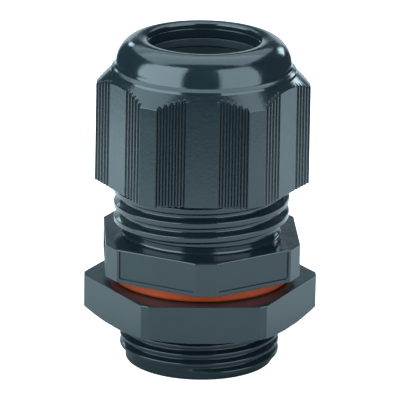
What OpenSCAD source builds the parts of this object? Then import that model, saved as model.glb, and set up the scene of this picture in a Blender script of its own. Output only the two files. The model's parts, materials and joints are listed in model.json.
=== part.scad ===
// Plastic cable gland for a 25 mm entry thread, shown with its cap nut backed off.
// The part stands on the end of its entry thread: Z is the axis, Z = 0 is that end.
// All diameters follow from the entry thread by named walls and steps.
// Screw threads are plain cylinders at their outside diameter.

/* [Entry thread] */
// Outside diameter of the thread that goes through the panel
entry_d = 25; // [20:0.5:40]
// Length of the entry thread, from its end to the hexagon
entry_len = 15.4; // [12:0.2:20]
// Height of the plain end below the first turn of thread
pilot_len = 0.6; // [0.3:0.1:1.5]
// How far the plain end is smaller than the thread, on the radius
pilot_step = 1.1; // [0.6:0.1:1.6]
// Wall from the way through the body to the outside of the entry thread
entry_wall = 2.75; // [2.2:0.05:3.5]

/* [Body hexagon] */
// How far the flats of the body hexagon stand out from the entry thread
hex_rim = 2.5; // [2:0.1:6]
// How far the corners of the body hexagon are cut back
hex_trim = 0.8; // [0.4:0.1:1.5]
// Thickness of the body hexagon
hex_h = 5.3; // [4:0.1:8]
// Turn of the body hexagon from a corner at the front, degrees
hex_turn = 3; // [-30:1:30]
// Plain border round the sunk panel on each flat
panel_border = 1; // [0.6:0.1:1.5]
// Depth of the sunk panels
panel_depth = 0.25; // [0.1:0.05:0.4]

/* [Spigot and clamp ring seat] */
// How far the thread for the cap nut stands out from the entry thread
spigot_step = 1.2; // [0.5:0.1:2]
// Height of the spigot above the body hexagon
spigot_len = 12.6; // [10:0.2:16]
// How far the plain neck lies inside the thread
neck_step = 1.5; // [0.8:0.1:1.6]
// Height of the plain neck
neck_len = 1.3; // [0.8:0.1:2.5]
// Wall of the spigot round the counterbore for the clamp ring
socket_wall = 2.25; // [1.8:0.05:2.6]
// Depth of the counterbore for the clamp ring
socket_len = 3; // [2:0.1:4]

/* [Cap nut] */
// Wall of the cap nut between its thread and its flats
cap_wall = 1.25; // [1:0.05:3]
// How far the corners of the cap nut are cut back
cap_trim = 0.82; // [0.4:0.01:1.2]
// Height of the cap nut above the body hexagon when it is backed off
cap_gap = 8.4; // [0.2:0.1:9]
// Height left under the cap nut when it is tight
tight_gap = 0.2; // [0.1:0.1:1]
// How far the foot of the rim between shoulder and dome lies inside the flats
rim_inset = 0.65; // [0.5:0.05:1.5]
// How far the dome's side lies inside the rim's foot
dome_step = 0.75; // [0.4:0.05:1.2]
// Height of the rounded top of the dome
dome_round = 3.95; // [2:0.05:4.5]
// Slope of the shoulder, degrees from level
shoulder_slope = 45; // [35:1:60]
// How far the cable opening stands back from the bore of the seal
lip_step = 0.35; // [0.1:0.05:0.5]
// Depth of the cable opening down to the seal
lip_len = 2.4; // [1.5:0.1:3]
// Number of grip grooves on each half of a flat
grip_count = 5; // [3:1:6]
// Width of the plain band in the middle of each flat
band_w = 4.7; // [2:0.1:6]
// Radius of the round grip grooves, as a share of half their pitch
grip_share = 0.77; // [0.5:0.01:0.85]

/* [Seal] */
// Wall of the seal sleeve
seal_wall = 1.3; // [0.9:0.05:2]
// Space between the seal and the clamp ring round it, on the radius
seal_play = 0.55; // [0.4:0.05:0.8]
// Height of the seal
seal_len = 12.2; // [9:0.1:15]
// How far the seal's collar stands out of the sleeve
collar_step = 0.4; // [0.25:0.05:0.6]
// Height of the seal's collar
collar_h = 1.6; // [1:0.1:2.5]

/* [Clamp cage] */
// Number of clamp fingers
finger_count = 14; // [8:1:18]
// Height of a finger above its hinge
finger_len = 5.4; // [4:0.1:7]
// Thickness of a finger
finger_t = 1.3; // [1:0.05:1.5]
// How far an upright finger lies inside the outside of the cap thread
finger_inset = 1.7; // [1.5:0.05:2.2]
// Angle that a finger closes from cap off to cap tight, degrees
finger_close = 16.9; // [8:0.1:20]
// Wall of the clamp ring below its collar
ring_wall = 1; // [0.7:0.05:1.3]
// Thickness of the clamp ring's collar
ring_collar = 0.7; // [0.5:0.1:1]
// Number of keys that stop the clamp ring from turning
key_count = 4; // [2:1:6]

/* [Flange gasket] */
// Thickness of the gasket under the hexagon
gasket_t = 1.8; // [1:0.1:2.5]
// Width of the gasket's section
gasket_w = 1.75; // [1:0.05:2]

/* [Lock nut] */
// How far the flats of the lock nut stand out from the entry thread
lock_rim = 3.6; // [2.5:0.1:7]
// How far the corners of the lock nut are cut back
lock_trim = 0.36; // [0.1:0.02:1]
// Thickness of the lock nut
lock_h = 6; // [4:0.1:8]
// Turn of the lock nut from a flat at the front, degrees
lock_turn = 2.5; // [-30:0.5:30]

/* [Fits] */
// Radial clearance of parts that turn or slide on each other
run_gap = 0.05; // [0.02:0.01:0.09]
// Free space between parts that pass each other
free_gap = 0.3; // [0.2:0.05:0.4]

/* [Hidden] */
finger_names = [for (i = [1 : finger_count]) str("clamp_finger_", i < 10 ? "0" : "", i)];
$fn = 96;
over = 1;                                // how far a cut runs past the face it opens
body_colour = [0.20, 0.26, 0.29];
cage_colour = [0.15, 0.18, 0.20];
seal_colour = [0.10, 0.11, 0.12];
gasket_colour = [0.80, 0.30, 0.15];

// Heights, from the end of the entry thread upwards
hex_z = entry_len;
spigot_z = hex_z + hex_h;
mouth_z = spigot_z + spigot_len;         // top face of the body
gasket_z = hex_z - gasket_t;
lock_z = gasket_z - lock_h;
cap_z = spigot_z + cap_gap;              // underside of the cap nut
cap_down = cap_gap - tight_gap;          // travel from backed off to tight
cap_up = spigot_len - cap_gap + 0.2;     // travel from backed off to clear of the thread

// Radii that follow from the entry thread
entry_r = entry_d / 2;
bore_r = entry_r - entry_wall;           // way through the body
hex_flat = entry_r + hex_rim;            // from the axis to a flat of the body hexagon
spigot_r = entry_r + spigot_step;
neck_r = spigot_r - neck_step;
socket_r = spigot_r - socket_wall;
cap_bore_r = spigot_r + run_gap;
cap_flat = cap_bore_r + cap_wall;        // from the axis to a flat of the cap nut
lock_flat = entry_r + lock_rim;          // from the axis to a flat of the lock nut

// Clamp cage: a finger stands upright when the cap nut is off
ring_r = socket_r - run_gap;
ring_in = ring_r - ring_wall;
finger_out = spigot_r - finger_inset;    // outside radius of an upright finger
hinge_r = finger_out - finger_t / 2;
knuckle_r = finger_t / 2 - 0.05;
hinge_z = mouth_z + ring_collar + free_gap;
finger_lean = finger_close * cap_up / (cap_up + cap_down);
finger_pitch = 360 / finger_count;
root_w = 2 * (hinge_r - finger_t / 2) * tan(finger_pitch / 2) - 0.5;
tip_r = hinge_r - finger_t / 2 - finger_len * sin(finger_close);
tip_w = 2 * tip_r * tan(finger_pitch / 2) - 0.35;
beak_z = 2;                              // height on a finger where its outside starts to slope
beak_in = 0.9;                           // how far that slope comes in at the tip
collar_r = finger_out + free_gap;
key_w = 2;
key_h = 0.9;

// Seal and its snap groove, seen from the underside of the cap nut
seal_r = ring_in - seal_play;
seal_bore_r = seal_r - seal_wall;
seal_collar_r = seal_r + collar_step;
seal_end_gap = 0.1;
groove_r = seal_collar_r + 2 * run_gap;
snap_r = seal_r + 0.15;
snap_h = 0.5;
snap_ease = 0.1;
cone_top_r = snap_r + 0.4;
cone_foot_r = collar_r + ring_collar;
cap_bore_z = spigot_len - tight_gap + 0.5;
cone_top_z = cap_bore_z + finger_len - free_gap;
groove_z = cone_top_z + snap_ease + snap_h;
seal_top = groove_z + seal_end_gap + collar_h;
cap_h = seal_top + seal_end_gap + lip_len;

// Cap nut outside, seen from its underside
cap_corner_r = corner(cap_flat, cap_trim);
lip_r = seal_bore_r + lip_step;
lip_round = 0.15;
lip_drop = 0.4;                          // how far the opening's edge lies below the dome's top
rim_r = cap_flat - rim_inset;
dome_r = rim_r - dome_step;
dome_top_r = lip_r + 0.9;                // radius at the highest line of the dome
dome_z = cap_h - dome_round;
rim_top_r = rim_r - 0.25;
rim_top_z = dome_z - 0.45;
rim_z = rim_top_z - 0.7;
shoulder_out = cap_corner_r + over;
shoulder_z = rim_z - (shoulder_out - rim_r) * tan(shoulder_slope);

// A quarter turn of an ellipse, as points from angle a0 to angle a1
function bow(cx, cz, rx, rz, a0, a1, n) =
    [for (i = [0 : n]) let (a = a0 + (a1 - a0) * i / n) [cx + rx * cos(a), cz + rz * sin(a)]];

// Turn a point on the front flat round to flat number k
function on_flat(p, k) =
    [p[0] * cos(60 * k) - p[1] * sin(60 * k), p[0] * sin(60 * k) + p[1] * cos(60 * k)];

// Distance from the axis to a cut corner of a hexagon
function corner(flat, trim) = 2 * flat / sqrt(3) - trim;

// Distance from the middle of a flat to the start of its cut corner
function flat_end(flat, trim) = 2 * corner(flat, trim) - flat * sqrt(3);

// Outline of a hexagon with cut corners and a flat at the front
module cut_hexagon(flat, trim) {
    e = flat_end(flat, trim);
    polygon([for (k = [0 : 5]) for (t = [-e, e]) on_flat([t, -flat], k)]);
}

// Outline of the cap nut: a plain band in each flat, with round grip grooves on both sides of it
module grooved_hexagon() {
    pitch = (flat_end(cap_flat, cap_trim) - band_w / 2) / grip_count;
    difference() {
        cut_hexagon(cap_flat, cap_trim);
        for (k = [0 : 5]) for (side = [-1, 1]) for (i = [0 : grip_count - 1])
            translate(on_flat([side * (band_w / 2 + (i + 0.5) * pitch), -cap_flat], k))
                circle(r = grip_share * pitch / 2, $fn = 24);
    }
}

module gland_body() {
    corner_r = corner(hex_flat, hex_trim);
    panel_w = 2 * (flat_end(hex_flat, hex_trim) - panel_border);
    color(body_colour) difference() {
        union() {
            rotate_extrude() polygon([
                [0, 0], [entry_r - pilot_step, 0], [entry_r - pilot_step, pilot_len],
                [entry_r, pilot_len + 0.3], [entry_r, hex_z + 0.5], [0, hex_z + 0.5]]);
            // Hexagon with its corners eased at top and bottom
            translate([0, 0, hex_z]) intersection() {
                rotate([0, 0, 30 + hex_turn]) linear_extrude(hex_h) cut_hexagon(hex_flat, hex_trim);
                rotate_extrude() polygon([
                    [0, 0], [corner_r - 0.6, 0], [corner_r + 0.1, 0.6],
                    [corner_r + 0.1, hex_h - 0.4], [corner_r - 0.5, hex_h], [0, hex_h]]);
            }
            translate([0, 0, spigot_z - 0.5]) rotate_extrude() polygon([
                [0, 0], [neck_r, 0], [neck_r, neck_len + 0.5],
                [spigot_r, neck_len + 1.2], [spigot_r, spigot_len], [spigot_r - 0.5, spigot_len + 0.5],
                [0, spigot_len + 0.5]]);
        }
        translate([0, 0, -over]) cylinder(r = bore_r, h = mouth_z);
        // Seat of the seal, then the counterbore of the clamp ring
        translate([0, 0, cap_z + seal_top - seal_len - cap_down - free_gap])
            cylinder(r = ring_in, h = spigot_len);
        translate([0, 0, mouth_z - socket_len]) cylinder(r = socket_r, h = socket_len + over);
        for (i = [0 : key_count - 1])
            rotate([0, 0, 360 / key_count * i])
                translate([ring_r - 0.5, -key_w / 2 - run_gap, mouth_z - key_h - run_gap])
                    cube([collar_r - ring_r + 0.6, key_w + 2 * run_gap, key_h + over]);
        // Sunk panel on each flat
        for (k = [0 : 5])
            rotate([0, 0, 30 + hex_turn + 60 * k])
                translate([-panel_w / 2, -hex_flat - over, hex_z + panel_border])
                    cube([panel_w, panel_depth + over, hex_h - 2 * panel_border]);
    }
}

module clamp_ring() {
    color(cage_colour) difference() {
        union() {
            translate([0, 0, mouth_z - socket_len + run_gap])
                cylinder(r = ring_r, h = socket_len);
            translate([0, 0, mouth_z]) cylinder(r = collar_r, h = ring_collar);
            for (i = [0 : key_count - 1])
                rotate([0, 0, 360 / key_count * i])
                    translate([ring_in + 0.2, -key_w / 2, mouth_z - key_h])
                        cube([collar_r - ring_in - 0.25, key_w, key_h + ring_collar / 2]);
        }
        translate([0, 0, mouth_z - socket_len - over]) cylinder(r = ring_in, h = socket_len + 3);
        // Groove under the foot of each finger
        for (i = [0 : finger_count - 1])
            rotate([0, 0, finger_pitch * (i + 0.5)])
                translate([hinge_r, root_w / 2 + run_gap, hinge_z])
                    rotate([90, 0, 0]) cylinder(r = knuckle_r + run_gap, h = root_w + 2 * run_gap);
    }
}

// One finger: a round foot in the ring's groove and a leaf that tapers to its tip
module clamp_finger(i) {
    inner = -finger_t / 2;
    outer = finger_t / 2;
    color(cage_colour)
        rotate([0, 0, finger_pitch * (i - 0.5)])
            translate([hinge_r, 0, hinge_z]) rotate([0, -finger_lean, 0]) {
                rotate([90, 0, 0]) translate([0, 0, -root_w / 2])
                    cylinder(r = knuckle_r, h = root_w);
                intersection() {
                    translate([-hinge_r, 0, 0]) rotate_extrude() polygon([
                        [hinge_r + inner, 0], [hinge_r + outer, 0], [hinge_r + outer, beak_z],
                        [hinge_r + outer - beak_in, finger_len], [hinge_r + inner, finger_len]]);
                    rotate([90, 0, 90]) translate([0, 0, -finger_t]) linear_extrude(2 * finger_t)
                        polygon([[-root_w / 2, -over], [root_w / 2, -over],
                                 [tip_w / 2, finger_len + over], [-tip_w / 2, finger_len + over]]);
                }
            }
}

module sealing_insert() {
    color(seal_colour) translate([0, 0, cap_z + seal_top - seal_len]) rotate_extrude() polygon([
        [seal_bore_r, 0.6], [seal_bore_r + 0.4, 0], [seal_r - 0.2, 0], [seal_r, 0.2],
        [seal_r, seal_len - collar_h], [seal_collar_r, seal_len - collar_h],
        [seal_collar_r, seal_len - 0.2], [seal_collar_r - 0.2, seal_len],
        [seal_bore_r + 0.15, seal_len], [seal_bore_r, seal_len - 0.15]]);
}

module cap_nut() {
    color(body_colour) translate([0, 0, cap_z]) difference() {
        intersection() {
            linear_extrude(cap_h) grooved_hexagon();
            rotate_extrude() polygon(concat(
                [[0, 0], [cap_corner_r - 0.15, 0], [shoulder_out, 0.4],
                 [shoulder_out, shoulder_z], [rim_r, rim_z]],
                [[rim_top_r, rim_top_z]],
                bow(rim_top_r, dome_z, rim_top_r - dome_r, dome_z - rim_top_z, 270, 180, 5),
                bow(dome_top_r, dome_z, dome_r - dome_top_r, dome_round, 0, 90, 14),
                bow(dome_top_r, cap_h - lip_drop, dome_top_r - lip_r, lip_drop, 90, 150, 4),
                [[0, cap_h - lip_drop]]));
        }
        // Inside: thread, cone that closes the fingers, snap groove of the seal, cable opening
        rotate_extrude() polygon([
            [0, -over], [cap_bore_r + 0.35 + over, -over], [cap_bore_r, 0.35],
            [cap_bore_r, cap_bore_z], [cone_foot_r, cap_bore_z], [cone_top_r, cone_top_z],
            [snap_r, cone_top_z + snap_ease], [snap_r, groove_z], [groove_r, groove_z],
            [groove_r, cap_h - lip_len], [lip_r, cap_h - lip_len],
            [lip_r, cap_h - lip_drop - lip_round], [lip_r + lip_round, cap_h - lip_drop + 0.05],
            [lip_r + lip_round, cap_h + over], [0, cap_h + over]]);
    }
}

module flange_gasket() {
    bore_r = entry_r + run_gap;
    color(gasket_colour) translate([0, 0, gasket_z]) rotate_extrude() polygon([
        [bore_r, 0], [bore_r + gasket_w - 0.3, 0], [bore_r + gasket_w, 0.3],
        [bore_r + gasket_w, gasket_t - 0.3], [bore_r + gasket_w - 0.3, gasket_t],
        [bore_r, gasket_t]]);
}

module lock_nut() {
    corner_r = corner(lock_flat, lock_trim);
    bore_r = entry_r + run_gap;
    color(body_colour) translate([0, 0, lock_z]) difference() {
        intersection() {
            rotate([0, 0, lock_turn]) linear_extrude(lock_h) cut_hexagon(lock_flat, lock_trim);
            rotate_extrude() polygon([
                [0, 0], [lock_flat + 0.1, 0], [corner_r + 0.1, 0.7],
                [corner_r + 0.1, lock_h], [0, lock_h]]);
        }
        rotate_extrude() polygon([
            [0, -over], [bore_r + 0.3 + over, -over], [bore_r, 0.3], [bore_r, lock_h - 0.3],
            [bore_r + 0.3 + over, lock_h + over], [0, lock_h + over]]);
    }
}

gland_body();
clamp_ring();
sealing_insert();
cap_nut();
flange_gasket();
lock_nut();
for (i = [1 : finger_count])
    clamp_finger(i);
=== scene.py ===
"""Looks of a plastic cable gland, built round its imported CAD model.

Every piece is a closed surface worked out on a grid: columns follow the plan outline round the
axis, rows follow the section up the outside and down the inside. All lengths are in metres.
"""
import json
import math

import bpy
import numpy as np
from mathutils import Matrix, Vector


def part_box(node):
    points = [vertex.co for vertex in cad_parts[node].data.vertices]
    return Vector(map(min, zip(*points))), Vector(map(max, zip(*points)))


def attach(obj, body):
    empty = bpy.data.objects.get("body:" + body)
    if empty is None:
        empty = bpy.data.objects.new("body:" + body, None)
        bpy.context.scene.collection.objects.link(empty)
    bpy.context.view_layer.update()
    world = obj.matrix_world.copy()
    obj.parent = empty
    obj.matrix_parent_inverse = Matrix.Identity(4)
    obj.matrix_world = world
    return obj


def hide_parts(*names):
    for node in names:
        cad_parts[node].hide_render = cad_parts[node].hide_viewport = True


bl_info = {
    "name": "Cable gland",
    "version": (1, 0, 0),
    "blender": (4, 5, 0),
    "location": "3D View > Sidebar > Gland",
    "description": "Builds a plastic cable gland round its packed CAD model",
    "category": "Object",
}

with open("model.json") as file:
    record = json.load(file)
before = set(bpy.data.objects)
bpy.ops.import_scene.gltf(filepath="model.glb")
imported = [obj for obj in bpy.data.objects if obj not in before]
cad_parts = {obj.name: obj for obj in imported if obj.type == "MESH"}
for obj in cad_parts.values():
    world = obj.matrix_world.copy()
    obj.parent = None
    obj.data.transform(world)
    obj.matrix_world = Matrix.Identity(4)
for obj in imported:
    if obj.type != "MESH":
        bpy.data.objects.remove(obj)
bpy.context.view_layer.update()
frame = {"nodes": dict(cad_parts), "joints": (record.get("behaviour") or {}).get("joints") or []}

MM = 0.001
TURN = 2 * math.pi
FRONT = -TURN / 4
WELD = 0.0002 * MM          # side of the cells in which points are welded
WELD_OFF = 0.37137          # keeps the walls of the cells off round coordinates


# ---------------------------------------------------------------- places taken from the CAD model

def low(node):
    """Lowest corner of a CAD node."""
    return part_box(node)[0]


def high(node):
    """Highest corner of a CAD node."""
    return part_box(node)[1]


HEX_Z = high("flange_gasket").z
MOUTH_Z = high("gland_body").z
CAP_Z, CAP_TOP = low("cap_nut").z, high("cap_nut").z
LOCK_Z, LOCK_TOP = low("lock_nut").z, high("lock_nut").z
SEAL_Z, SEAL_TOP = low("sealing_insert").z, high("sealing_insert").z
GASKET_Z, GASKET_R = low("flange_gasket").z, high("flange_gasket").x
RING_Z, RING_TOP, RING_R = low("clamp_ring").z, high("clamp_ring").z, high("clamp_ring").x
FINGERS = sorted(n for n in frame["nodes"] if n.startswith("clamp_finger_"))
HINGES = {j["child"]: j for j in frame["joints"]}


# ---------------------------------------------------------------- sizes and colours

def size(name, mm, text):
    """A length that a user may change, given in millimetres."""
    return bpy.props.FloatProperty(
        name=name, description=text, default=mm * MM, unit="LENGTH", precision=5)


def angle(name, degrees, text):
    """An angle that a user may change, given in degrees."""
    return bpy.props.FloatProperty(
        name=name, description=text, default=math.radians(degrees), subtype="ANGLE")


def count(name, number, text):
    """A whole number that a user may change."""
    return bpy.props.IntProperty(name=name, description=text, default=number, min=1)


def share(name, value, text):
    """A number from 0 to 1 that a user may change."""
    return bpy.props.FloatProperty(
        name=name, description=text, default=value, min=0, max=1, subtype="FACTOR")


def colour(name, rgb, text):
    """A colour that a user may change."""
    return bpy.props.FloatVectorProperty(
        name=name, description=text, default=rgb, size=3, min=0, max=1, subtype="COLOR")


class GlandThreadSizes(bpy.types.PropertyGroup):
    entry_r: size("Entry thread radius", 12.5, "Outside radius of the entry thread")
    entry_root: size("Entry root radius", 11.58, "Radius at the bottom of the entry thread")
    entry_lead: size("Entry lead", 1.5, "Rise of the entry thread in one turn")
    entry_crest: size("Entry crest", 0.46, "Width of the entry thread's crest")
    entry_foot: size("Entry foot", 1.2, "Width of the entry thread at its root")
    entry_rise: size("Entry crest height", 5.7, "Height of a crest's middle at the front")
    spigot_r: size("Spigot thread radius", 13.7, "Outside radius of the cap thread")
    spigot_root: size("Spigot root radius", 12.62, "Radius at the bottom of the cap thread")
    spigot_lead: size("Spigot lead", 2.3, "Rise of the cap thread in one turn")
    spigot_crest: size("Spigot crest", 0.8, "Width of the cap thread's crest")
    spigot_foot: size("Spigot foot", 1.75, "Width of the cap thread at its root")
    spigot_rise: size("Spigot crest height", 23.5, "Height of a crest's middle at the front")
    edge: size("Thread edge", 0.14, "Rounding of the crest's edges")
    bed: size("Thread bed", 0.18, "Rounding at the bottom of a thread")
    play: size("Thread play", 0.12, "Axial and radial play between a nut and its thread")


class GlandBodySizes(bpy.types.PropertyGroup):
    bore_r: size("Bore", 9.75, "Radius of the way through the body")
    pilot_r: size("Pilot", 11.6, "Radius of the plain end below the entry thread")
    pilot_h: size("Pilot height", 0.55, "Height of the plain end")
    hex_h: size("Hexagon height", 5.3, "Thickness of the body hexagon")
    hex_flat: size("Hexagon flat", 15.08, "Distance from the axis to a flat of the body hexagon")
    hex_trim: size("Hexagon trim", 0.96, "How far the hexagon's corners are cut back")
    hex_turn: angle("Hexagon turn", 33.2, "Turn of the body hexagon from a flat at the front")
    border: size("Panel border", 0.36, "Plain border beside and above a sunk panel")
    sill: size("Panel sill", 0.62, "Plain border below a sunk panel")
    panel: size("Panel depth", 0.26, "Depth of the sunk panels")
    edge: size("Edge", 0.14, "Rounding of the body hexagon's edges")
    neck_r: size("Neck", 12.2, "Radius of the plain neck above the hexagon")
    neck_h: size("Neck height", 1.1, "Height of the plain neck")
    socket_r: size("Socket", 11.45, "Radius of the counterbore for the clamp ring")
    socket_h: size("Socket depth", 3.0, "Depth of the counterbore for the clamp ring")
    seat_r: size("Seat", 10.4, "Radius of the room for the seal below the clamp ring")
    seat_h: size("Seat height", 28.7, "Height of the seat where the seal would come to rest")


class GlandCapSizes(bpy.types.PropertyGroup):
    flat: size("Cap flat", 15.05, "Distance from the axis to a flat of the cap nut at its top")
    draft: size("Cap draft", 0.09, "How much further out a flat is at the cap nut's foot")
    trim: size("Cap trim", 0.82, "How far the cap nut's corners are cut back")
    band: size("Plain band", 4.9, "Width of the plain band in the middle of a flat")
    grooves: count("Grooves", 5, "Number of grip grooves on each half of a flat")
    groove_w: share("Groove width", 0.76, "Width of a groove as a share of the groove pitch")
    groove_d: size("Groove depth", 0.45, "Depth of the grip grooves")
    edge: size("Edge", 0.15, "Rounding of the cap nut's edges")
    rim_r: size("Rim", 14.4, "Radius at the foot of the rim between shoulder and dome")
    rim_z: size("Rim height", 17.6, "Height of the rim's foot above the cap's underside")
    rim_h: size("Rim wall", 0.38, "Height of the rim's outer wall")
    ledge_r: size("Ledge", 13.85, "Radius of the crevice between the rim and the dome")
    ledge_h: size("Ledge rise", 0.4, "How far the rim's top rises to the crevice")
    slope: angle("Shoulder slope", 45, "Slope of the shoulder from level")
    dome_r: size("Dome", 13.6, "Radius of the dome's side")
    dome_h: size("Dome height", 3.95, "Height of the dome's round")
    dome_top: size("Dome top", 10.1, "Radius of the dome's highest line")
    dome_power: bpy.props.FloatProperty(
        name="Dome fullness", default=1.9, min=1, max=4,
        description="Power of the dome's section: 2 is an ellipse, less is leaner")
    lip_r: size("Lip", 8.9, "Radius of the cable opening")
    lip_edge: size("Lip edge", 0.22, "Rounding of the cable opening's edge")
    lip_drop: size("Lip drop", 0.3, "How far the opening's edge lies below the dome's top")
    lip_step: size("Lip step", 0.12, "Width of the small step just inside the opening")
    lip_step_z: size("Step height", 21.75, "Height of the small step above the cap's underside")
    lip_h: size("Lip depth", 2.4, "Depth of the cable opening down to the seal")
    bore_r: size("Cap bore", 13.75, "Radius at the bottom of the cap nut's thread")
    bore_h: size("Cap bore height", 12.9, "Height of the cap nut's threaded room")
    cone_r: size("Cone foot", 13.0, "Radius at the foot of the cone that closes the fingers")
    cone_top: size("Cone top", 10.4, "Radius at the top of the cone")
    cone_z: size("Cone height", 18.0, "Height of the top of the cone")
    bead_r: size("Snap bead", 10.0, "Radius of the bead that holds the seal")
    groove_r: size("Snap groove", 10.35, "Radius of the groove that holds the seal's collar")
    groove_z: size("Snap groove height", 18.6, "Height of the snap groove's lower side")


class GlandSmallSizes(bpy.types.PropertyGroup):
    seal_bore: size("Seal bore", 8.55, "Inside radius of the relaxed seal")
    seal_r: size("Seal", 9.85, "Outside radius of the seal's sleeve")
    collar_r: size("Seal collar", 10.25, "Radius of the seal's collar")
    collar_h: size("Collar height", 1.6, "Height of the seal's collar")
    recess: size("Seal recess", 0.3, "Depth of the recess inside the seal's sleeve")
    gasket_bore: size("Gasket bore", 12.55, "Inside radius of the gasket")
    gasket_edge: size("Gasket edge", 0.5, "Rounding of the gasket's edges")
    lock_flat: size("Lock nut flat", 16.1, "Distance from the axis to a flat of the lock nut")
    lock_trim: size("Lock nut trim", 0.36, "How far the lock nut's corners are cut back")
    lock_turn: angle("Lock nut turn", 2.5, "Turn of the lock nut from a flat at the front")
    lock_slope: angle("Lock nut chamfer", 17.7, "Slope of the chamfer under the lock nut")
    lock_edge: size("Lock nut edge", 0.12, "Rounding of the lock nut's edges")
    ring_in: size("Ring inside", 10.4, "Inside radius of the clamp ring")
    ring_r: size("Ring", 11.4, "Radius of the clamp ring below its collar")
    finger_t: size("Finger", 1.3, "Thickness of a finger")
    finger_h: size("Finger height", 5.4, "Height of a finger above its hinge")
    foot_r: size("Finger foot", 0.6, "Radius of a finger's round foot")
    finger_lean: angle("Finger lean", 5.9, "Lean of a finger at rest")
    finger_close: angle("Finger close", 16.9, "Lean of a finger with the cap nut tight")


class GlandFinish(bpy.types.PropertyGroup):
    plastic: colour("Body plastic", (0.0056, 0.0102, 0.0128), "Colour of body, cap and lock nut")
    plastic_pale: colour("Pale streak", (0.0076, 0.0130, 0.0155), "Paler flow streaks")
    gloss: share("Roughness", 0.11, "Roughness of the body plastic")
    cage: colour("Cage plastic", (0.015, 0.022, 0.025), "Colour of the clamp cage")
    rubber: colour("Seal rubber", (0.013, 0.020, 0.023), "Colour of the seal")
    gasket: colour("Gasket rubber", (0.27, 0.032, 0.004), "Colour of the flange gasket")


class GlandStage(bpy.types.PropertyGroup):
    distance: size("Camera distance", 559.6, "Distance of the camera from its aim")
    elevation: angle("Camera elevation", 17.874, "Elevation of the camera")
    roll: angle("Camera roll", 1.012, "Roll of the camera")
    aim_x: size("Aim, sideways", -0.232, "Sideways place of the camera's aim")
    aim_z: size("Aim, height", 25.613, "Height of the camera's aim")
    lens: size("Focal length", 322.717, "Focal length on a 36 mm sensor")
    left: bpy.props.FloatProperty(
        name="Left light", default=6.8, min=0, description="Brightness of the left softbox")
    right: bpy.props.FloatProperty(
        name="Right light", default=5.0, min=0, description="Brightness of the right softbox")
    top: bpy.props.FloatProperty(
        name="Top light", default=3.2, min=0, description="Brightness of the softbox overhead")
    back: bpy.props.FloatProperty(
        name="Back lights", default=6.6, min=0, description="Brightness of the small back lights")
    tint: colour("Light tint", (0.67, 0.89, 0.99), "Colour of the light")
    table_r: size("Table", 200, "Radius of the white table top that the gloss mirrors")
    floor: colour("Floor", (0.9, 0.9, 0.9), "Colour of the floor")


# ---------------------------------------------------------------- surfaces on a grid

def fillet(corners, radii, steps=4, hold=0.04 * MM):
    """Rows through `corners`, an array (corners, columns, 3), with each corner rounded off.

    At a corner with half angle b the arc of radius r touches both sides at r / tan(b), or at 45%
    of the shorter side where that is less. The arc is the rational curve
    ((1-t)^2 A + 2 w t (1-t) P + t^2 B) / ((1-t)^2 + 2 w t (1-t) + t^2) with w = sin(b), which is
    a circle. A row on each side, `hold` from the arc, keeps the faces beside it flat.
    """
    rows = [corners[0]]
    t = np.linspace(0, 1, steps + 1)[:, None, None]
    for k in range(1, len(corners) - 1):
        if not radii[k]:
            rows.append(corners[k])
            continue
        back, ahead = corners[k - 1] - corners[k], corners[k + 1] - corners[k]
        far_back = np.linalg.norm(back, axis=-1, keepdims=True)
        far_ahead = np.linalg.norm(ahead, axis=-1, keepdims=True)
        back, ahead = back / np.maximum(far_back, 1e-12), ahead / np.maximum(far_ahead, 1e-12)
        half = np.arccos(np.clip((back * ahead).sum(-1, keepdims=True), -1, 1)) / 2
        short = 0.45 * np.minimum(far_back, far_ahead)
        reach = np.minimum(radii[k] / np.maximum(np.tan(half), 1e-6), short)
        rest = np.minimum(reach + hold, short * 1.05)
        w = np.sin(half)
        a, b = corners[k] + back * reach, corners[k] + ahead * reach
        top = (1 - t) ** 2 * a + 2 * w * t * (1 - t) * corners[k] + t ** 2 * b
        arc = top / ((1 - t) ** 2 + 2 * w * t * (1 - t) + t ** 2)
        rows += [corners[k] + back * rest, *arc, corners[k] + ahead * rest]
    rows.append(corners[-1])
    return np.array(rows)


def turned(theta, section):
    """Rows of a turned section: (r, z) goes to (r cos a, r sin a, z) at each column's angle a."""
    r, z = (np.asarray(v, float) for v in zip(*section))
    one = np.ones_like(theta)
    return np.stack([np.outer(r, np.cos(theta)), np.outer(r, np.sin(theta)),
                     np.outer(z, one)], axis=-1)


def bow(r, z, across, rise, start, end, steps, power=2.0):
    """Part of an ellipse as (r, z) points: (r + across cos a, z + rise sin a).

    With another `power` p it is a superellipse: cos and sin are taken to the power 2 / p.
    """
    a = np.radians(np.linspace(start, end, steps + 1))
    c, s = np.cos(a), np.sin(a)
    c, s = (np.sign(v) * np.abs(v) ** (2 / power) for v in (c, s))
    return list(zip(r + across * c, z + rise * s))


def spread(line, gap):
    """The points of a plan line, with steps longer than `gap` divided evenly."""
    out = []
    for a, b in zip(line[:-1], line[1:]):
        parts = max(1, math.ceil(np.linalg.norm(b - a) / gap))
        out.append(a + (b - a) * np.arange(parts)[:, None] / parts)
    return np.vstack(out + [line[-1:]])


def six_sided(flat, trim, edge, gap, marks=()):
    """A sixth of the plan outline of a hexagon with cut corners, and where its flat ends.

    It runs from the middle of a cut corner over a flat to the middle of the next, as points
    (distance along the flat, depth below it), without the last one. `marks` are extra points of
    that kind on the flat. The edges beside the cut corners are rounded by `edge`.
    """
    corner = flat * 2 / math.sqrt(3) - trim
    end = 2 * corner - flat * math.sqrt(3)
    middle = (corner / 2, flat - corner * math.sqrt(3) / 2)
    line = [(-middle[0], middle[1]), (-end, 0), *marks, (end, 0), middle]
    radii = [0, edge, *[0] * len(marks), edge, 0]
    line = np.array([(t, d, 0.0) for t, d in line])[:, None]
    line = spread(fillet(line, radii, 3, 0.03 * MM)[:, 0, :2], gap)
    return line[:-1], end


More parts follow.
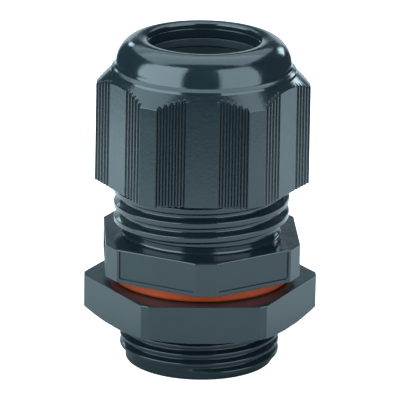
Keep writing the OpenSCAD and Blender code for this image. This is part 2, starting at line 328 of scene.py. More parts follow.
def sixths(line, flat, turn):
    """A plan outline: a sixth of it, turned by 60 degrees six times from the flat at the front."""
    t, d = line[:, 0], flat - line[:, 1]
    a = FRONT + turn + np.arange(6)[:, None] * TURN / 6
    x = np.cos(a) * d - np.sin(a) * t
    y = np.sin(a) * d + np.cos(a) * t
    return np.stack([x.ravel(), y.ravel()], axis=-1)


def upright(plan, z):
    """One row: a plan outline at height z, where z is a number or one height per column."""
    return np.concatenate([plan, np.broadcast_to(z, len(plan))[:, None]], axis=1)


def angles(plan):
    """Angle of each column of a plan outline, rising without a jump."""
    return np.unwrap(np.arctan2(plan[:, 1], plan[:, 0]))


def screw(theta, bottom, top, lead, rise, root, crest, foot_w, crest_w, edge, bed,
          run_in=None, cut=None):
    """Rows of a screw thread between heights `bottom` and `top`.

    Row s is the helix z = rise + lead (s - 1/2 + (a - FRONT) / turn), so a crest's middle is at
    height rise at the front. Its radius is root + (crest - root) h(s), where h goes round the
    trapezoid of the thread's section once for every whole s. Heights are cut off at bottom and
    top. `run_in` is (first turn, turns to full height); `cut` gives the largest radius at a height.
    """
    w = [(0, 0), ((lead - foot_w) / 2, 0), ((lead - crest_w) / 2, abs(crest - root)),
         ((lead + crest_w) / 2, abs(crest - root)), ((lead + foot_w) / 2, 0), (lead, 0)]
    w = np.array([(x, h, 0.0) for x, h in w])[:, None]
    w = fillet(w, [0, bed, edge, edge, bed, 0], 3, 0.02 * MM)[:-1, 0]
    turns = (theta - FRONT) / TURN
    first = math.floor((bottom - rise) / lead - turns.max()) - 1
    last = math.ceil((top - rise) / lead - turns.min()) + 1
    s = (np.arange(first, last)[:, None] + w[None, :, 0] / lead).ravel()
    h = np.tile(w[:, 1] / abs(crest - root), last - first)
    whole = s[:, None] - 0.5 + turns
    z = rise + lead * whole
    centre = np.floor(s)[:, None] + turns
    full = np.ones_like(z)
    if run_in:
        full = np.clip((centre - run_in[0]) / run_in[1], 0, 1)
        full = full * full * (3 - 2 * full)
    r = root + (crest - root) * h[:, None] * full
    inside = (z > bottom) & (z < top)
    if cut is not None:
        r = np.minimum(r, cut(z))
    r = np.where(inside, r, root)
    z = np.clip(z, bottom, top)
    return np.stack([r * np.cos(theta), r * np.sin(theta), z], axis=-1)


def quads(rows, columns, start):
    """Corner numbers of the faces between neighbouring rows and columns, counted from `start`."""
    i = np.arange(rows - 1)[:, None]
    j = np.arange(columns - 1)[None, :]
    q = np.stack([i * columns + j, i * columns + j + 1, (i + 1) * columns + j + 1,
                  (i + 1) * columns + j], axis=-1)
    return q.reshape(-1, 4) + start


def close(points):
    """Adds the first column again after the last one, a full turn on."""
    return np.concatenate([points, points[:, :1]], axis=1)


def solid(name, grids, sharp=40.0):
    """A mesh object from grids of points, each (rows, columns + 1, 3) with its ends meeting.

    Faces join neighbouring rows and columns, or are given with their grid. Points in the same cell
    of WELD are welded, and faces that lose a side become triangles or go.
    """
    points, faces, start = [], [], 0
    for grid in grids:
        if isinstance(grid, tuple):
            grid, own = grid
            faces.append(np.asarray(own) + start)
        else:
            faces.append(quads(grid.shape[0], grid.shape[1], start))
        points.append(grid.reshape(-1, 3))
        start += len(points[-1])
    points, faces = np.vstack(points), np.vstack(faces)
    keys = np.floor(points / WELD + WELD_OFF).astype(np.int64)
    _, first, inverse = np.unique(keys, axis=0, return_index=True, return_inverse=True)
    points, faces = points[first], inverse.ravel()[faces]
    keep = faces != np.roll(faces, -1, axis=1)
    keep &= ~((faces == np.roll(faces, -2, axis=1)).any(axis=1, keepdims=True))
    sides = keep.sum(axis=1)
    good = sides >= 3
    faces, keep, sides = faces[good], keep[good], sides[good]
    corners = faces[keep]
    starts = np.concatenate([[0], np.cumsum(sides)[:-1]])
    mesh = bpy.data.meshes.new(name)
    mesh.vertices.add(len(points))
    mesh.vertices.foreach_set("co", points.astype(np.float32).ravel())
    mesh.loops.add(len(corners))
    mesh.loops.foreach_set("vertex_index", corners.astype(np.int32))
    mesh.polygons.add(len(sides))
    mesh.polygons.foreach_set("loop_start", starts.astype(np.int32))
    mesh.update(calc_edges=True)
    mesh.validate()
    mesh.shade_smooth()
    mesh.set_sharp_from_angle(angle=math.radians(sharp))
    piece = bpy.data.objects.new(name, mesh)
    bpy.context.scene.collection.objects.link(piece)
    return piece


def stand_for(piece, body, node, finish):
    """Gives a piece its material and lets it stand for a CAD node on its body."""
    piece.data.materials.append(finish)
    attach(piece, body)
    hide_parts(node)


# ---------------------------------------------------------------- materials

class Wire:
    """An output socket, on which arithmetic adds Math nodes."""

    def __init__(self, board, socket):
        self.board, self.socket = board, socket

    def sum(self, operation, *values):
        """A Math node with this operation on the values."""
        return self.board.add("ShaderNodeMath", {"operation": operation}, dict(enumerate(values)))

    def __add__(self, other):
        return self.sum("ADD", self, other)

    def __mul__(self, other):
        return self.sum("MULTIPLY", self, other)

    __radd__, __rmul__ = __add__, __mul__


class Finish:
    """The node board of one material."""

    def __init__(self, name):
        self.material = bpy.data.materials.new(name)
        self.material.use_nodes = True
        self.tree = self.material.node_tree
        self.tree.nodes.clear()

    def add(self, kind, settings=None, sockets=None, out=0):
        """A node of this type, its settings made first, then its sockets set or linked."""
        node = self.tree.nodes.new(kind)
        for key, value in (settings or {}).items():
            if key == "stops":
                ramp = node.color_ramp.elements
                while len(ramp) < len(value):
                    ramp.new(1.0)
                for stop, (at, level) in zip(ramp, value):
                    stop.position, stop.color = at, (level, level, level, 1)
            else:
                setattr(node, key, value)
        for key, value in (sockets or {}).items():
            if isinstance(value, Wire):
                self.tree.links.new(value.socket, node.inputs[key])
            elif value is not None:
                node.inputs[key].default_value = value
        return Wire(self, node.outputs[out] if node.outputs else None)

    def place(self, stretch=(1, 1, 1)):
        """The point on the piece, stretched along its axes."""
        spot = self.add("ShaderNodeTexCoord", out="Object")
        return self.add("ShaderNodeMapping", {}, {"Vector": spot, "Scale": stretch})

    def noise(self, spot, per_metre, detail=2.0, rough=0.5):
        """Soft noise from 0 to 1 with this many bumps to the metre."""
        return self.add("ShaderNodeTexNoise", {}, {
            "Vector": spot, "Scale": per_metre, "Detail": detail, "Roughness": rough})

    def ramp(self, value, *stops):
        """Carries a value along the given (position, level) stops."""
        return self.add("ShaderNodeValToRGB", {"stops": stops}, {"Fac": value})

    def mix(self, share, first, second):
        """One colour turning into another."""
        return self.add("ShaderNodeMix", {"data_type": "RGBA"}, {
            0: share, 6: first, 7: second}, 2)

    def bump(self, height, distance):
        """A normal that follows small heights, given in metres for a height of 1."""
        return self.add("ShaderNodeBump", {}, {"Height": height, "Distance": distance})

    def shine(self, **sockets):
        """The closing shader; spaces in socket names are written as underscores."""
        named = {key.replace("_", " "): value for key, value in sockets.items()}
        shader = self.add("ShaderNodeBsdfPrincipled", {}, named)
        self.add("ShaderNodeOutputMaterial", {}, {"Surface": shader})
        return self.material


def rgba(colour):
    """A colour with full alpha."""
    return (*colour, 1.0)


def moulded_plastic(name, base, pale, gloss):
    """Moulded polyamide: faint flow streaks, a fine sparked grain and a slightly uneven gloss."""
    board = Finish(name)
    spot = board.place()
    flow = board.noise(board.place((1, 1, 0.22)), 150, 3.0)
    cloud = board.noise(spot, 420, 2.0)
    grain = board.noise(spot, 5200, 2.0, 0.6)
    streak = board.ramp(flow * 0.65 + cloud * 0.35, (0.38, 0.0), (0.66, 1.0))
    worn = board.ramp(board.noise(spot, 260, 4.0, 0.6), (0.45, 0.0), (0.75, 1.0))
    height = grain * 0.75 + board.noise(spot, 1700, 1.0) * 1.6
    return board.shine(
        Base_Color=board.mix(streak, rgba(base), rgba(pale)),
        Roughness=gloss + worn * 0.07 + grain * 0.05,
        IOR=1.5,
        Normal=board.bump(height, 0.006 * MM))


def rubber(name, base, rough, index=1.45):
    """Soft rubber: matt, a little dusty, with a fine pitted skin."""
    board = Finish(name)
    spot = board.place()
    dust = board.ramp(board.noise(spot, 700, 4.0, 0.65), (0.4, 0.0), (0.75, 1.0))
    pits = board.noise(spot, 6500, 2.0, 0.7)
    dusty = tuple(c * 0.88 + 0.012 for c in base)
    return board.shine(
        Base_Color=board.mix(dust * 0.6, rgba(base), rgba(dusty)),
        Roughness=rough + pits * 0.12,
        IOR=index,
        Normal=board.bump(pits, 0.02 * MM))


# ---------------------------------------------------------------- pieces

def settings():
    """The property groups with the sizes and colours."""
    return bpy.context.scene


def body_finish():
    """The dark plastic that body, cap nut and lock nut share."""
    found = bpy.data.materials.get("slate_polyamide")
    f = settings().gland_finish
    return found or moulded_plastic("slate_polyamide", f.plastic, f.plastic_pale, f.gloss)


def cage_finish():
    """The plastic of the clamp cage."""
    f = settings().gland_finish
    return bpy.data.materials.get("cage_polyamide") or moulded_plastic(
        "cage_polyamide", f.cage, tuple(c * 1.4 for c in f.cage), f.gloss + 0.12)


def eased(plan, limit, slope, z, up):
    """Two rows where a cone cuts the corners of an outline at its end face.

    The cone has radius `limit` in the end face at height z. The second row is the outline brought
    in to `limit`, or by 0.06 mm where it is inside the cone already; the first keeps the outline
    and leaves the face by tan(slope) times what the second was brought in.
    """
    r = np.linalg.norm(plan, axis=1)
    inner = np.minimum(r - 0.06 * MM, limit)
    side = upright(plan, z - up * (r - inner) * math.tan(slope))
    return side, upright(plan * (inner / r)[:, None], z)


def build_body():
    """Body: entry thread, hexagon with sunk panels, neck, spigot thread, and the way through."""
    b, t = settings().gland_body, settings().gland_threads
    corner = b.hex_flat * 2 / math.sqrt(3) - b.hex_trim
    half = 2 * corner - b.hex_flat * math.sqrt(3) - b.border
    wall = 0.1 * MM
    marks = [(-half, 0), (-half + wall, 0), (half - wall, 0), (half, 0)]
    line, _ = six_sided(b.hex_flat, b.hex_trim, b.edge, 0.9 * MM, marks)
    sunk = line.copy()
    inside = np.abs(line[:, 0]) < half - wall / 2
    sunk[inside, 1] = b.panel
    plan, deep = (sixths(v, b.hex_flat, b.hex_turn) for v in (line, sunk))
    theta = angles(plan)
    hex_top = HEX_Z + b.hex_h

    below = turned(theta, [
        (b.bore_r, 3 * MM), (b.bore_r, 0.3 * MM), (b.bore_r + 0.3 * MM, 0), (b.pilot_r, 0),
        (b.pilot_r, b.pilot_h), (t.entry_root, b.pilot_h + 0.2 * MM),
        (t.entry_root, b.pilot_h + 0.3 * MM)])
    below = fillet(below, [0, 0.1 * MM, 0.1 * MM, 0.08 * MM, 0.08 * MM, 0.08 * MM, 0])
    entry = screw(
        theta_closed(theta), b.pilot_h + 0.3 * MM, HEX_Z - 0.9 * MM, t.entry_lead, t.entry_rise,
        t.entry_root, t.entry_r, t.entry_foot, t.entry_crest, t.edge, t.bed, (-3.03, 0.1))
    step = wall / 2
    waist = np.concatenate([
        turned(theta, [(t.entry_root, HEX_Z - 0.9 * MM), (t.entry_root, HEX_Z)]),
        [upright(plan, HEX_Z),
         upright(plan, HEX_Z + b.sill - step), upright(deep, HEX_Z + b.sill + step),
         upright(deep, hex_top - b.border - step), upright(plan, hex_top - b.border + step),
         upright(plan, hex_top)],
        turned(theta, [
            (b.neck_r, hex_top), (b.neck_r, hex_top + b.neck_h),
            (t.spigot_root, hex_top + b.neck_h + 0.22 * MM),
            (t.spigot_root, hex_top + b.neck_h + 0.4 * MM)])])
    waist = fillet(waist, [0, 0.15 * MM, 0.07 * MM, 0, 0, 0, 0, b.edge, 0.35 * MM,
                           0.15 * MM, 0.1 * MM, 0])
    ends = MOUTH_Z - 0.05 * MM
    spigot = screw(
        theta_closed(theta), hex_top + b.neck_h + 0.4 * MM, ends, t.spigot_lead, t.spigot_rise,
        t.spigot_root, t.spigot_r, t.spigot_foot, t.spigot_crest, t.edge, t.bed, (-0.36, 0.12),
        lambda z: t.spigot_root + 0.25 * MM + (ends - z) * 1.2)
    mouth = turned(theta, [
        (t.spigot_root, ends), (t.spigot_root, MOUTH_Z), (b.socket_r, MOUTH_Z),
        (b.socket_r, MOUTH_Z - b.socket_h), (b.seat_r, MOUTH_Z - b.socket_h),
        (b.seat_r, b.seat_h), (b.bore_r, b.seat_h), (b.bore_r, 3 * MM)])
    c = 0.12 * MM
    mouth = fillet(mouth, [0, 0.04 * MM, c, c, c, c, c, 0], 3)
    piece = solid("gland_moulding", [close(below), entry, close(waist), spigot, close(mouth)])
    stand_for(piece, "body", "gland_body", body_finish())


def theta_closed(theta):
    """Column angles with the first one again, a full turn on."""
    return np.append(theta, theta[0] + TURN)


def build_cap():
    """Cap nut: grooved hexagon, shoulder, rim and dome; inside it thread, cone and snap groove.

    The shoulder runs from each point of the outline straight in below the grooves, then radially
    to the rim, always at the height of one cone.
    """
    c, t = settings().gland_cap, settings().gland_threads
    corner = c.flat * 2 / math.sqrt(3) - c.trim
    end = 2 * corner - c.flat * math.sqrt(3)
    pitch = (end - c.band / 2) / c.grooves
    half = c.groove_w * pitch / 2
    a = np.radians(np.array([12, 38, 64, 90, 116, 142, 168]))
    hollow = np.stack([-(half - 0.02 * MM) * np.cos(a), c.groove_d * np.sin(a)], axis=1)
    groove = np.vstack([[(-half, 0)], hollow, [(half, 0)]])
    middles = c.band / 2 + (np.arange(c.grooves) + 0.5) * pitch
    right = np.vstack([groove + (m, 0) for m in middles])
    left = right[::-1] * (-1, 1)
    line, _ = six_sided(c.flat, c.trim, c.edge, 0.8 * MM, [*map(tuple, left), *map(tuple, right)])
    guide = line.copy()
    guide[:, 1] = np.maximum(line[:, 1], 0) + 0.03 * MM
    flat_part = np.abs(line[:, 0]) <= end
    guide[flat_part, 1] = c.groove_d + 0.08 * MM
    # A cut corner's guide points lie on the line between the guides of the two flats
    flare = (np.abs(line[:, 0]) - end) / (corner / 2 - end)
    g_end = np.array([end, c.groove_d + 0.08 * MM])
    top = c.flat - g_end[1]
    edge_r = top * math.cos(TURN / 12) + g_end[0] * math.sin(TURN / 12)
    mid = np.array([edge_r * math.sin(TURN / 12), c.flat - edge_r * math.cos(TURN / 12)])
    cut = ~flat_part
    sign = np.sign(line[cut, 0])
    guide[cut, 0] = sign * (g_end[0] + (mid[0] - g_end[0]) * flare[cut])
    guide[cut, 1] = g_end[1] + (mid[1] - g_end[1]) * flare[cut]
    plan, inner = (sixths(v, c.flat, 0.0) for v in (line, guide))
    theta, coarse = angles(inner), slice(None, None, 3)

    def cone(p):
        return CAP_Z + c.rim_z - (np.linalg.norm(p, axis=1) - c.rim_r) * math.tan(c.slope)

    dome_z = CAP_TOP - c.dome_h
    rim_z = CAP_Z + c.rim_z
    crest_z = rim_z + c.rim_h
    crevice_z = crest_z + c.ledge_h
    under = CAP_TOP - c.lip_h
    lip_z = CAP_TOP - c.lip_drop
    step_z, step_r = CAP_Z + c.lip_step_z, c.lip_r - c.lip_step
    ring = 14.35 * MM
    join = (c.lip_r + c.groove_r) / 2
    fillet_z = dome_z + 0.25 * MM
    crease = bow(c.ledge_r, fillet_z, c.ledge_r - c.dome_r, fillet_z - crevice_z, 268, 184, 6)
    dome = bow(c.dome_top, dome_z, c.dome_r - c.dome_top, c.dome_h, 6, 90, 19, c.dome_power)
    fall = bow(c.dome_top, lip_z, c.dome_top - c.lip_r, c.lip_drop, 106, 164, 4)
    skin = np.concatenate([
        turned(angles(plan), [(ring, CAP_Z)]),
        [upright(plan * (1 + c.draft / c.flat), CAP_Z), upright(plan, cone(plan)),
         upright(inner, cone(inner))],
        turned(theta, [(c.rim_r, rim_z), (c.rim_r - 0.08 * MM, crest_z)] + crease + dome + fall
               + [(c.lip_r, lip_z - 0.12 * MM), (c.lip_r, step_z), (step_r, step_z),
                  (step_r, under), (join, under)])])
    e = c.edge
    skin = fillet(skin, [0, 0.15 * MM, e, 0, 0.16 * MM, 0.1 * MM]
                  + [0] * (len(crease) + len(dome) + len(fall))
                  + [c.lip_edge, 0.04 * MM, 0.05 * MM, 0.1 * MM, 0], 3)
    few = np.append(angles(plan)[coarse], angles(plan)[0] + TURN)
    few_top = np.append(theta[coarse], theta[0] + TURN)
    outer = close(skin)
    n = outer.shape[1]
    bore = turned(few_top, [
        (join, under), (c.groove_r, under), (c.groove_r, CAP_Z + c.groove_z),
        (c.bead_r, CAP_Z + c.groove_z), (c.bead_r, CAP_Z + c.cone_z + 0.1 * MM),
        (c.cone_top, CAP_Z + c.cone_z), (c.cone_r, CAP_Z + c.bore_h),
        (c.bore_r, CAP_Z + c.bore_h), (c.bore_r, CAP_Z + c.bore_h - 0.4 * MM)])
    bore = fillet(bore, [0, 0.1 * MM, 0.08 * MM, 0.08 * MM, 0.08 * MM, 0.1 * MM, 0.15 * MM,
                         0.1 * MM, 0], 3)
    thread = screw(
        few, CAP_Z + 0.5 * MM, CAP_Z + c.bore_h - 0.4 * MM, t.spigot_lead,
        t.spigot_rise + t.spigot_lead / 2 + 2 * t.spigot_lead, c.bore_r,
        t.spigot_root + t.play, t.spigot_lead - t.spigot_crest - t.play,
        t.spigot_lead - t.spigot_foot - t.play, t.edge, t.bed)[::-1]
    foot = turned(few, [(c.bore_r, CAP_Z + 0.5 * MM), (c.bore_r + 0.35 * MM, CAP_Z),
                        (ring, CAP_Z)])
    swing = two_rings(few_top, few, c.bore_r, CAP_Z + c.bore_h - 0.4 * MM)
    piece = solid("cap_nut_moulding", [
        outer, bore, swing, thread, foot,
        fan(outer[-1], one_ring(few_top, join, under), n, True),
        fan(outer[0], one_ring(few, ring, CAP_Z), n, False)])
    stand_for(piece, "cap", "cap_nut", body_finish())


def one_ring(theta, r, z):
    """One ring of points."""
    return turned(theta, [(r, z)])[0]


def two_rings(theta_a, theta_b, r, z):
    """Two rings, one just below the other, whose columns stand at slightly different angles."""
    return np.stack([one_ring(theta_a, r, z), one_ring(theta_b, r, z - 0.01 * MM)])


def fan(fine, coarse, n, up):
    """Triangles between a ring of n = m k + 1 points and one of k + 1, the n points given first."""
    k = len(coarse) - 1
    step = (n - 1) // k
    i = np.arange(k)[:, None]
    j = np.arange(step)[None, :]
    a, b = i * step + j, i * step + j + 1
    anchor = n + np.where(j < step // 2, i, i + 1)
    tri = np.stack([a, b, anchor, anchor], axis=-1).reshape(-1, 4)
    mid = np.stack([i + n, i * step + step // 2, i + 1 + n, i + 1 + n], axis=-1).reshape(-1, 4)
    faces = np.vstack([tri, mid])
    if not up:
        faces = faces[:, [1, 0, 2, 3]]
    return np.vstack([fine, coarse])[None], faces


def build_seal():
    """Seal: a turned sleeve with a collar that snaps into the cap nut."""
    s = settings().gland_small
    theta = FRONT + np.arange(160) * TURN / 160
    low_z, high_z = SEAL_TOP - 3.2 * MM, SEAL_TOP - s.collar_h + 0.4 * MM
    wide = s.seal_bore + s.recess
    line = turned(theta, [
        (s.seal_bore, SEAL_Z + 5 * MM), (s.seal_bore, SEAL_Z + 0.6 * MM),
        (s.seal_bore + 0.4 * MM, SEAL_Z), (s.seal_r, SEAL_Z), (s.seal_r, SEAL_TOP - s.collar_h),
        (s.collar_r, SEAL_TOP - s.collar_h), (s.collar_r, SEAL_TOP), (s.seal_bore, SEAL_TOP),
        (s.seal_bore, high_z), (wide, high_z - 0.15 * MM), (wide, low_z + s.recess),
        (s.seal_bore, low_z), (s.seal_bore, SEAL_Z + 5 * MM)])
    line = fillet(line, [0, 0.25 * MM, 0.15 * MM, 0.2 * MM, 0.1 * MM, 0.15 * MM, 0.1 * MM,
                         0.08 * MM, 0.08 * MM, 0.1 * MM, 0.1 * MM, 0.1 * MM, 0], 5)
    piece = solid("seal_sleeve", [close(line)])
    stand_for(piece, "seal", "sealing_insert",
              rubber("seal_rubber", settings().gland_finish.rubber, 0.42))


def build_gasket():
    """Flange gasket: a turned ring with well rounded edges."""
    s = settings().gland_small
    theta = FRONT + np.arange(192) * TURN / 192
    mid = (GASKET_Z + HEX_Z) / 2
    wide = GASKET_R - 0.12 * MM
    line = turned(theta, [
        (s.gasket_bore, mid), (s.gasket_bore, GASKET_Z), (wide, GASKET_Z),
        (wide, HEX_Z), (s.gasket_bore, HEX_Z), (s.gasket_bore, mid)])
    e = s.gasket_edge
    line = fillet(line, [0, 0.2 * MM, e, e, 0.2 * MM, 0], 5)
    piece = solid("flange_ring", [close(line)])
    stand_for(piece, "gasket", "flange_gasket",
              rubber("gasket_rubber", settings().gland_finish.gasket, 0.5, 1.3))


def build_lock_nut():
    """Lock nut: hexagon with a chamfer below, and a thread inside that fits the entry thread."""
    s, t = settings().gland_small, settings().gland_threads
    line, _ = six_sided(s.lock_flat, s.lock_trim, s.lock_edge, 0.8 * MM)
    plan = sixths(line, s.lock_flat, s.lock_turn)
    theta = angles(plan)
    under_side, under_face = eased(plan, s.lock_flat + 0.1 * MM, s.lock_slope, LOCK_Z, -1)
    r = t.entry_r + 0.05 * MM
    out = np.concatenate([
        turned(theta, [(r, LOCK_Z + 0.35 * MM), (r + 0.35 * MM, LOCK_Z)]),
        [under_face, under_side, upright(plan, LOCK_Z + 1.5 * MM), upright(plan, LOCK_TOP)],
        turned(theta, [(r + 0.35 * MM, LOCK_TOP), (r, LOCK_TOP - 0.35 * MM)])])
    e = s.lock_edge
    out = fillet(out, [0, 0.08 * MM, e, e, 0, e, 0.08 * MM, 0])
    thread = screw(
        theta_closed(theta), LOCK_Z + 0.35 * MM, LOCK_TOP - 0.35 * MM, t.entry_lead,
        t.entry_rise + t.entry_lead / 2, r, t.entry_root + t.play,
        t.entry_lead - t.entry_crest - t.play, t.entry_lead - t.entry_foot - t.play / 3,
        t.edge, t.bed)[::-1]
    piece = solid("lock_nut_moulding", [close(out), thread])
    stand_for(piece, "lock_nut", "lock_nut", body_finish())


def build_cage():
    """Clamp cage: a ring with a shallow trough under every finger, and the fingers on it.

    A finger is its side outline, a closed line of (height along it, distance out), carried across
    its width: at a share v of the width it stands v w(height) / 2 to the side and
    (v w)^2 / (8 R) further in, and it shrinks to its middle at both ends to round its edges.
    """
    s = settings().gland_small
    finger = HINGES["finger_01"]
    pivot = Vector(finger["pos_m"])
    hinge_r, hinge_z = math.hypot(pivot.x, pivot.y), pivot.z
    number = len(FINGERS)
    pitch = TURN / number
    theta = FRONT + np.arange(number * 16) * pitch / 16
    off = (theta - pitch * 0.5 + pitch / 2) % pitch - pitch / 2
    r = np.array([s.ring_in, hinge_r - 0.62 * MM, hinge_r - 0.45 * MM, hinge_r - 0.22 * MM,
                  hinge_r, hinge_r + 0.22 * MM, hinge_r + 0.45 * MM, hinge_r + 0.62 * MM,
                  RING_R - 0.1 * MM])[::-1]
    dip = np.sqrt(np.maximum((0.65 * MM) ** 2 - (r - hinge_r) ** 2, 0)) - (hinge_z - RING_TOP)
    across = np.clip((pitch * 0.45 - np.abs(off)) / (pitch * 0.05), 0, 1)
    z = RING_TOP - np.maximum(dip, 0)[:, None] * across
    tops = np.stack([np.outer(r, np.cos(theta)), np.outer(r, np.sin(theta)), z], axis=-1)
    sides = turned(theta, [
        (s.ring_in, RING_Z + 1 * MM), (s.ring_in, RING_Z), (s.ring_r, RING_Z),
        (s.ring_r, MOUTH_Z), (RING_R, MOUTH_Z), (RING_R, RING_TOP - 0.05 * MM)])
    sides = fillet(sides, [0, 0.1 * MM, 0.15 * MM, 0.05 * MM, 0.1 * MM, 0], 3)
    last = turned(theta, [(s.ring_in, RING_Z + 1 * MM)])
    ring = solid("clamp_ring_moulding", [close(np.concatenate([sides, tops, last]))])
    stand_for(ring, "body", "clamp_ring", cage_finish())

    t = s.finger_t / 2
    h = s.finger_h
    outline = np.array([
        (-s.foot_r, 0), (-s.foot_r, s.foot_r), (0.2 * MM, t), (2.0 * MM, t), (h, t - 0.9 * MM),
        (h, -t), (0.2 * MM, -t), (-s.foot_r, -s.foot_r), (-s.foot_r, 0)])
    outline = np.array([(x, y, 0.0) for x, y in outline])[:, None]
    e = 0.12 * MM
    outline = fillet(outline, [0, 0.55 * MM, 0.3 * MM, 0.5 * MM, e, e, 0.3 * MM, 0.55 * MM, 0], 5)
    up, out = outline[:-1, 0, 0], outline[:-1, 0, 1]
    for name in FINGERS:
        spot = Vector(HINGES[name.replace("clamp_", "")]["pos_m"])
        a = math.atan2(spot.y, spot.x)
        root_w = 2 * (hinge_r - t) * math.tan(pitch / 2) - 0.5 * MM
        tip_r = hinge_r - t - h * math.sin(s.finger_close)
        tip_w = 2 * tip_r * math.tan(pitch / 2) - 0.35 * MM
        width = root_w + (tip_w - root_w) * np.clip(up / h, 0, 1)
        v = np.array([-1, -1, -0.975, -0.93, -0.5, 0, 0.5, 0.93, 0.975, 1, 1])
        k = np.array([0, 0.84, 0.95, 1, 1, 1, 1, 1, 0.95, 0.84, 0])
        mid_up, mid_out = h * 0.45, -0.1 * MM
        uu = mid_up + (up[None] - mid_up) * k[:, None]
        oo = mid_out + (out[None] - mid_out) * k[:, None]
        side = v[:, None] * width[None] / 2
        oo = oo - side ** 2 / (2 * hinge_r)
        rr = hinge_r + oo * math.cos(s.finger_lean) - uu * math.sin(s.finger_lean)
        zz = hinge_z + uu * math.cos(s.finger_lean) + oo * math.sin(s.finger_lean)
        x = rr * math.cos(a) - side * math.sin(a)
        y = rr * math.sin(a) + side * math.cos(a)
        grid = np.stack([x, y, zz], axis=-1)
        piece = solid(name.replace("clamp_", "leaf_"), [close(grid)], 50)
        stand_for(piece, name.replace("clamp_", ""), name, cage_finish())


def softbox(name, level, tint, centre, facing, wide, tall):
    """A rectangular light at `centre` that shines along `facing`, with its long side level."""
    lamp = bpy.data.lights.new(name, "AREA")
    lamp.shape, lamp.size, lamp.size_y = "RECTANGLE", wide, tall
    lamp.energy, lamp.color = level * math.pi * wide * tall, tint
    box = bpy.data.objects.new(name, lamp)
    turn = Vector(facing).to_track_quat("-Z", "Y").to_matrix().to_4x4()
    box.matrix_world = Matrix.Translation(centre) @ turn
    box.visible_camera = False
    bpy.context.scene.collection.objects.link(box)


def around(azimuth, away, z=0.0):
    """A point `away` from the axis at this azimuth, in degrees to the right of the front."""
    a = math.radians(azimuth)
    return Vector((away * math.sin(a), -away * math.cos(a), z))


def standing(name, level, tint, edge_a, edge_b, bottom, top):
    """An upright softbox between two edges on plan, facing the axis."""
    along = edge_b - edge_a
    centre = (edge_a + edge_b) / 2
    facing = Vector((along.y, -along.x, 0))
    facing *= -1 if facing.dot(centre) > 0 else 1
    centre.z = (bottom + top) / 2
    softbox(name, level, tint, centre, facing, along.length, top - bottom)


def flat_piece(name, points, colour, glow, shade=None):
    """A level face of the stage with a plain matt finish.

    `shade` gives (distance, share of the colour) stops, up to 0.25 m, from a point 3 cm to the
    right of and 5 cm behind the axis. With them the colour also gets painted shade round the
    object's foot, darkest at the axis.
    """
    mesh = bpy.data.meshes.new(name)
    mesh.from_pydata([tuple(p) for p in points], [], [tuple(range(len(points)))])
    piece = bpy.data.objects.new(name, mesh)
    bpy.context.scene.collection.objects.link(piece)
    board = Finish(name)
    tone = rgba(colour)
    if shade:
        spot = board.add("ShaderNodeVectorMath", {"operation": "SUBTRACT"},
                         {0: board.place(), 1: (0.03, 0.05, 0)})
        far = board.add("ShaderNodeVectorMath", {"operation": "LENGTH"}, {0: spot}, 1)
        # Painted shade round the object's foot: the colour darkens towards the axis, down to 35%
        # within 12 mm of it and back to full by 12 cm.
        foot_shade = board.add("ShaderNodeVectorMath", {"operation": "LENGTH"}, {0: board.place()}, 1)
        foot_shade = board.ramp(foot_shade * 4.0, (0.048, 0.35), (0.16, 0.7), (0.48, 1.0))
        tone = board.mix(foot_shade * board.ramp(far * 4.0, *[(at * 4, v) for at, v in shade]),
                         (0, 0, 0, 1), tone)
    piece.data.materials.append(board.shine(
        Base_Color=tone, Roughness=0.9, IOR=1.01, Emission_Color=(1, 1, 1, 1),
        Emission_Strength=glow))
    return piece


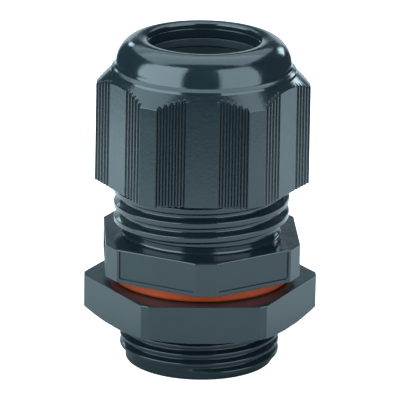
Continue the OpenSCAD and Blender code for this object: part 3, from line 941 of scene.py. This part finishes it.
def build_stage():
    """Stage: pale floor, two softboxes in front, one overhead, small lights behind, the camera."""
    s = settings().gland_stage
    scene = bpy.context.scene
    scene.view_settings.view_transform = "Standard"
    reach = 6.0
    floor = flat_piece("floor", [(-reach, -reach, -0.0001), (reach, -reach, -0.0001),
                                 (reach, reach, -0.0001), (-reach, reach, -0.0001)], s.floor, 1.0)
    floor.visible_glossy = floor.visible_diffuse = False
    # The table is seen only in the gloss and by bounced light; its colour carries painted shade
    # round the object's foot and fades out towards its edge.
    table = flat_piece("table", [around(k * 7.5, s.table_r, -0.00005) for k in range(48)],
                       s.floor, 0.0, [(0.15, 1.0), (0.185, 0.55), (0.21, 0.35), (0.245, 0.0)])
    table.visible_camera = table.visible_shadow = False

    world = bpy.data.worlds.new("room")
    scene.world = world
    world.use_nodes = True
    nodes, links = world.node_tree.nodes, world.node_tree.links
    nodes.clear()
    path = nodes.new("ShaderNodeLightPath")
    dim, pale = nodes.new("ShaderNodeBackground"), nodes.new("ShaderNodeBackground")
    dim.inputs["Color"].default_value = rgba(s.tint)
    dim.inputs["Strength"].default_value = 0.06
    pale.inputs["Color"].default_value = (1, 1, 1, 1)
    both, out = nodes.new("ShaderNodeMixShader"), nodes.new("ShaderNodeOutputWorld")
    links.new(path.outputs["Is Camera Ray"], both.inputs[0])
    links.new(dim.outputs[0], both.inputs[1])
    links.new(pale.outputs[0], both.inputs[2])
    links.new(both.outputs[0], out.inputs[0])

    tint = s.tint
    standing("softbox_left", s.left, tint, around(-27, 0.21), around(-92, 0.45), 0, 0.337)
    standing("softbox_right", s.right, tint, around(21, 0.22), around(76, 0.26), 0, 0.306)
    down = (0, 0, -1)
    softbox("softbox_top", s.top, tint, Vector((-0.08, 0.165, 0.6)), down, 1.08, 0.57)
    softbox("softbox_top_back", s.top * 0.47, tint, Vector((-0.08, 0.7, 0.6)), down, 1.08, 0.5)
    for name, azimuth, rise, level, wide, tall in (
            ("back_right", 147, 15, s.back, 0.114, 0.096), ("back_left", -156, 20, s.back * 0.9,
                                                            0.065, 0.06),
            ("back_wall", 180, 0, 1.1, 0.36, 0.25)):
        e = math.radians(rise)
        spot = around(azimuth, 0.5 * math.cos(e), 0.048 + 0.5 * math.sin(e))
        softbox(name, level, tint, spot, Vector((0, 0, 0.048)) - spot, wide, tall)

    aim = Vector((s.aim_x, 0, s.aim_z))
    e = s.elevation
    camera = bpy.data.cameras.new("camera")
    camera.sensor_width, camera.lens = 36, s.lens / MM
    camera.clip_start, camera.clip_end = 0.01, 20
    eye = bpy.data.objects.new("camera", camera)
    scene.collection.objects.link(eye)
    spot = aim + Vector((0, -math.cos(e), math.sin(e))) * s.distance
    eye.matrix_world = (Matrix.Translation(spot) @ Matrix.Rotation(TURN / 4 - e, 4, "X")
                        @ Matrix.Rotation(s.roll, 4, "Z"))
    scene.camera = eye


# ---------------------------------------------------------------- operators and panel

class GLAND_OT_stage(bpy.types.Operator):
    """Adds the floor, the lights and the camera"""
    bl_idname, bl_label = "gland.stage", "Stage"

    def execute(self, context):
        build_stage()
        return {"FINISHED"}


class GLAND_OT_body(bpy.types.Operator):
    """Builds the body with its threads and hexagon"""
    bl_idname, bl_label = "gland.body", "Body"

    def execute(self, context):
        build_body()
        return {"FINISHED"}


class GLAND_OT_cap(bpy.types.Operator):
    """Builds the domed cap nut"""
    bl_idname, bl_label = "gland.cap", "Cap nut"

    def execute(self, context):
        build_cap()
        return {"FINISHED"}


class GLAND_OT_seal(bpy.types.Operator):
    """Builds the seal that sits in the cap nut"""
    bl_idname, bl_label = "gland.seal", "Seal"

    def execute(self, context):
        build_seal()
        return {"FINISHED"}


class GLAND_OT_cage(bpy.types.Operator):
    """Builds the clamp ring and all its fingers"""
    bl_idname, bl_label = "gland.cage", "Clamp cage"

    def execute(self, context):
        build_cage()
        return {"FINISHED"}


class GLAND_OT_gasket(bpy.types.Operator):
    """Builds the gasket under the hexagon"""
    bl_idname, bl_label = "gland.gasket", "Flange gasket"

    def execute(self, context):
        build_gasket()
        return {"FINISHED"}


class GLAND_OT_lock_nut(bpy.types.Operator):
    """Builds the lock nut on the entry thread"""
    bl_idname, bl_label = "gland.lock_nut", "Lock nut"

    def execute(self, context):
        build_lock_nut()
        return {"FINISHED"}


OPERATORS = [
    GLAND_OT_stage, GLAND_OT_body, GLAND_OT_cap, GLAND_OT_seal, GLAND_OT_cage, GLAND_OT_gasket,
    GLAND_OT_lock_nut]
GROUPS = {
    "gland_threads": GlandThreadSizes, "gland_body": GlandBodySizes,
    "gland_cap": GlandCapSizes, "gland_small": GlandSmallSizes,
    "gland_finish": GlandFinish, "gland_stage": GlandStage}


class GLAND_PT_build(bpy.types.Panel):
    """Lists the operators and the sizes."""
    bl_idname, bl_label = "GLAND_PT_build", "Cable gland"
    bl_space_type, bl_region_type, bl_category = "VIEW_3D", "UI", "Gland"

    def draw(self, context):
        for kind in OPERATORS:
            self.layout.operator(kind.bl_idname)
        for key, group in GROUPS.items():
            box = self.layout.box()
            for name in group.__annotations__:
                box.prop(getattr(context.scene, key), name)


def register():
    """Adds the classes and the property groups."""
    for kind in (*GROUPS.values(), *OPERATORS, GLAND_PT_build):
        bpy.utils.register_class(kind)
    for key, group in GROUPS.items():
        setattr(bpy.types.Scene, key, bpy.props.PointerProperty(type=group))


def unregister():
    """Takes them away again."""
    for key in GROUPS:
        delattr(bpy.types.Scene, key)
    for kind in (GLAND_PT_build, *OPERATORS, *GROUPS.values()):
        bpy.utils.unregister_class(kind)


def main():
    """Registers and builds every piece."""
    register()
    for kind in OPERATORS:
        getattr(bpy.ops.gland, kind.bl_idname.split(".")[1])()


if __name__ == "__main__":
    main()
